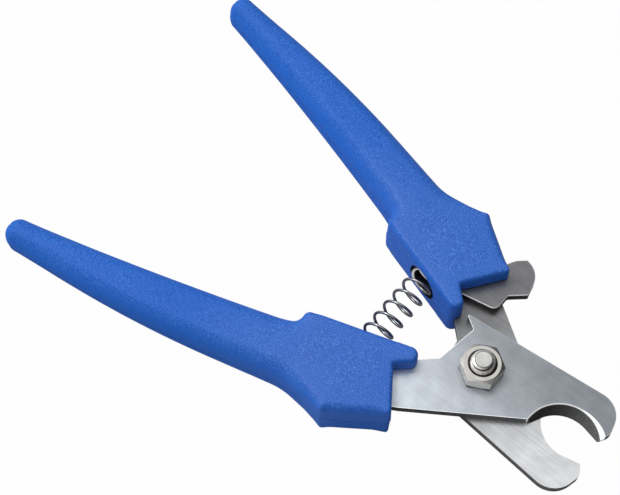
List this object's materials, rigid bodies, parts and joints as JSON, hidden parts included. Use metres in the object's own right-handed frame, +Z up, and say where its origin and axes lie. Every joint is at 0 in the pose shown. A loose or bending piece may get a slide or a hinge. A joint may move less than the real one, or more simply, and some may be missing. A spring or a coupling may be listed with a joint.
{
  "type": "pet nail trimmer",
  "caption": "Plier-type pet nail trimmer: crossed steel blades with hooked jaws on a bolt, blue moulded grips, coil return spring and a thumb latch that locks it shut.",
  "frame": {"origin": "middle of the open tool's footprint, in the plane of the table it lies on; the pivot axis is 33.9 mm further forward", "axes": "+X forward along the centreline between the jaws, +Y towards the rear blade's grip, +Z up, along the pivot bolt towards the nut"},
  "size_m": [0.1227, 0.0772, 0.0136],
  "materials": {
    "blade_steel": "satin, fine brushed lines, ground bevels",
    "grip_plastic": "satin moulded, fine sparkle grain",
    "nickel_plate": "bright nickel plating, slightly warm",
    "spring_wire": "drawn wire",
    "latch_steel": "satin grey, bright sheared edge"
  },
  "bodies": {
    "rear_half": {"rear_blade": "blade_steel", "rear_grip_upper_shell": "grip_plastic", "rear_grip_lower_shell": "grip_plastic", "pivot_bolt": "nickel_plate", "pivot_nut": "nickel_plate", "latch_rivet": "latch_steel", "return_spring": "spring_wire"},
    "front_half": {"front_blade": "blade_steel", "front_grip_upper_shell": "grip_plastic", "front_grip_lower_shell": "grip_plastic"},
    "latch": {"latch_lever": "latch_steel"}
  },
  "joints": [
    {"name": "main_pivot", "type": "hinge", "parent": "rear_half", "child": "front_half", "pos_m": [0.0339, 0, 0.0061], "axis": [0, 0, -1], "range_deg": [0, 21], "stiffness_Nm_per_rad": 0.4, "springref_deg": -2.86, "deforming": ["return_spring"]},
    {"name": "latch_pivot", "type": "hinge", "parent": "rear_half", "child": "latch", "pos_m": [0.0204, 0.0175, 0.0061], "axis": [0, 0, -1], "range_deg": [0, 22]}
  ]
}
